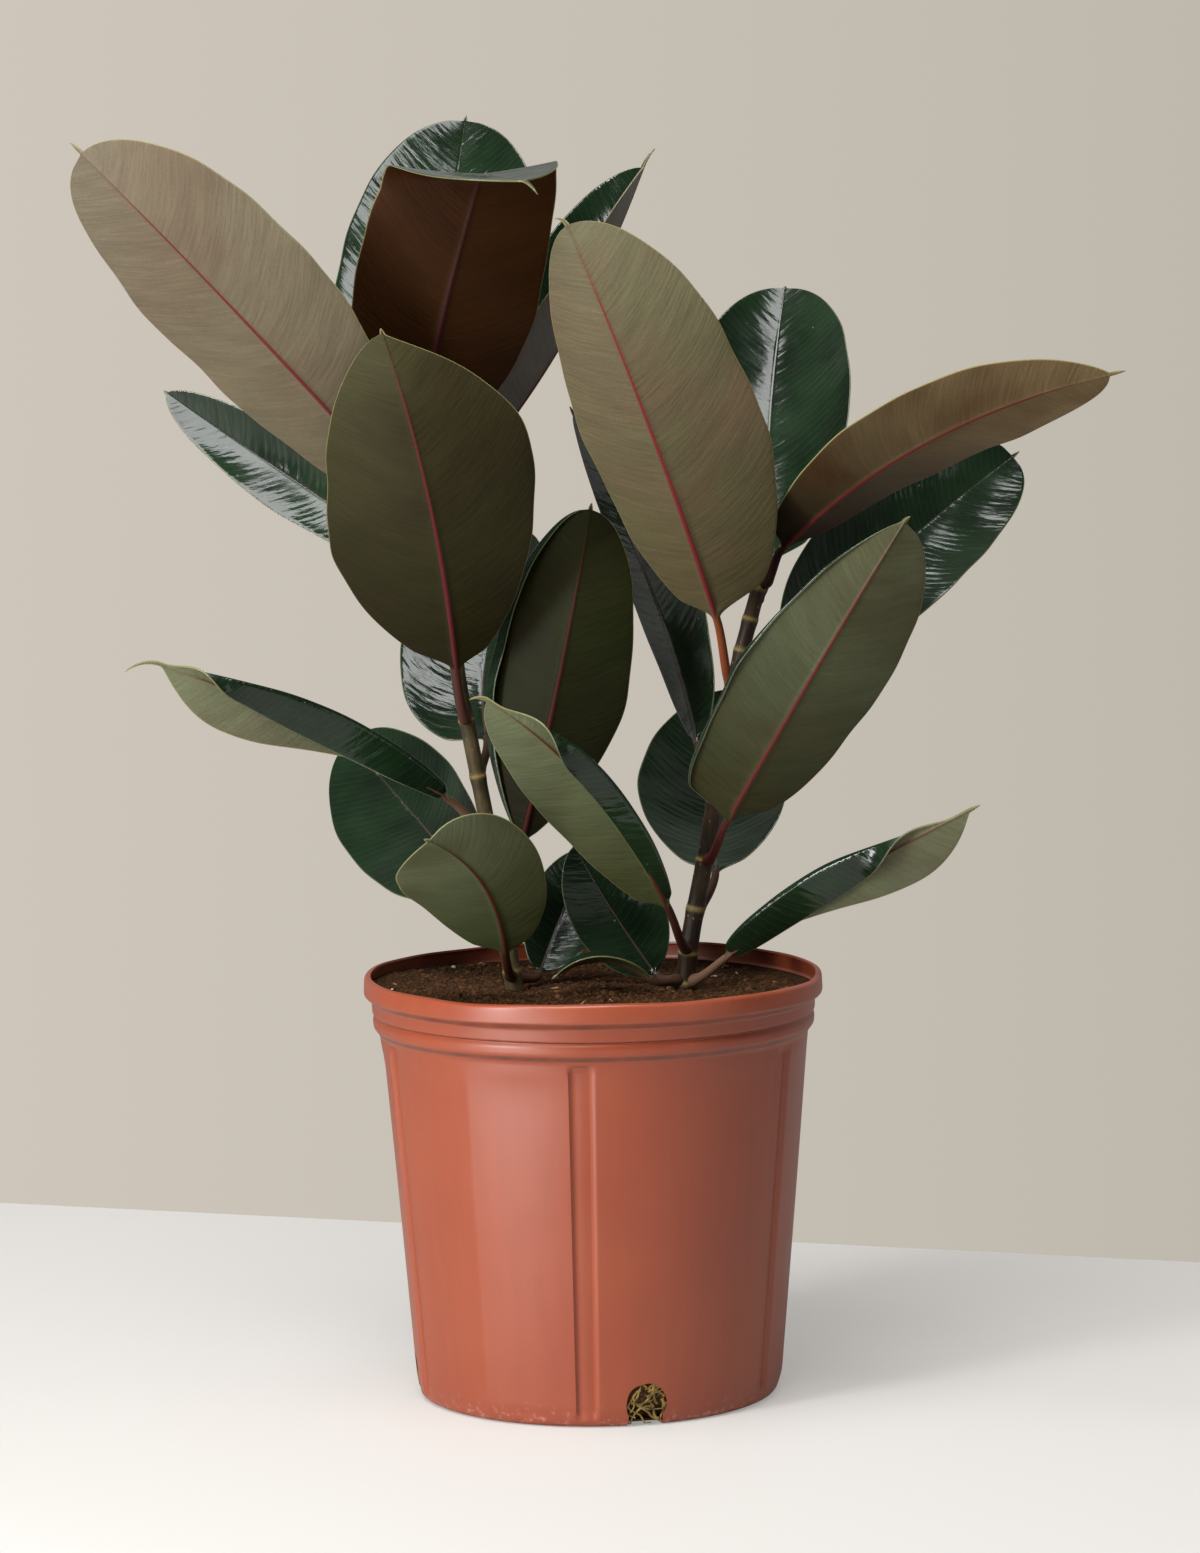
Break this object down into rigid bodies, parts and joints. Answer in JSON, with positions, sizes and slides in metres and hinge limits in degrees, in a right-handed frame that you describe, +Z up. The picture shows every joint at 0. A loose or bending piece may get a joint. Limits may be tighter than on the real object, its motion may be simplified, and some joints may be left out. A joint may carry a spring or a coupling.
{
  "type": "potted rubber plant",
  "caption": "Upright houseplant with large leathery burgundy leaves on woody stems, growing in a thin plastic nursery pot filled with potting mix.",
  "frame": {"origin": "middle of the pot's flat foot, on the surface that the pot stands on", "axes": "+Z up, -Y towards the side shown in the picture, +X to the right of that view"},
  "size_m": [0.5922, 0.3067, 0.7547],
  "materials": {
    "pot_plastic": "satin",
    "potting_mix": "matte",
    "stem": "satin",
    "leaf": "gloss"
  },
  "bodies": {
    "root": {"nursery_pot": "pot_plastic", "potting_soil": "potting_mix", "stem_left": "stem", "stem_right": "stem", "leaf_upper_left_long": "leaf", "leaf_top_left_glossy": "leaf", "leaf_top_brown": "leaf", "leaf_upper_mid_narrow": "leaf", "leaf_front_left_big": "leaf", "leaf_center_big": "leaf", "leaf_right_dark": "leaf", "leaf_right_long_brown": "leaf", "leaf_behind_stem_left": "leaf", "leaf_center_dark": "leaf", "leaf_center_right_narrow": "leaf", "leaf_diagonal_front": "leaf", "leaf_low_left_round": "leaf", "leaf_left_low_long": "leaf", "leaf_right_front": "leaf", "leaf_left_mid_dark": "leaf", "leaf_left_upper_small": "leaf", "leaf_behind_right_stem": "leaf", "leaf_right_low": "leaf", "leaf_low_center_right": "leaf", "leaf_low_center_left": "leaf", "leaf_right_back": "leaf", "leaf_low_flat": "leaf"}
  },
  "joints": []
}
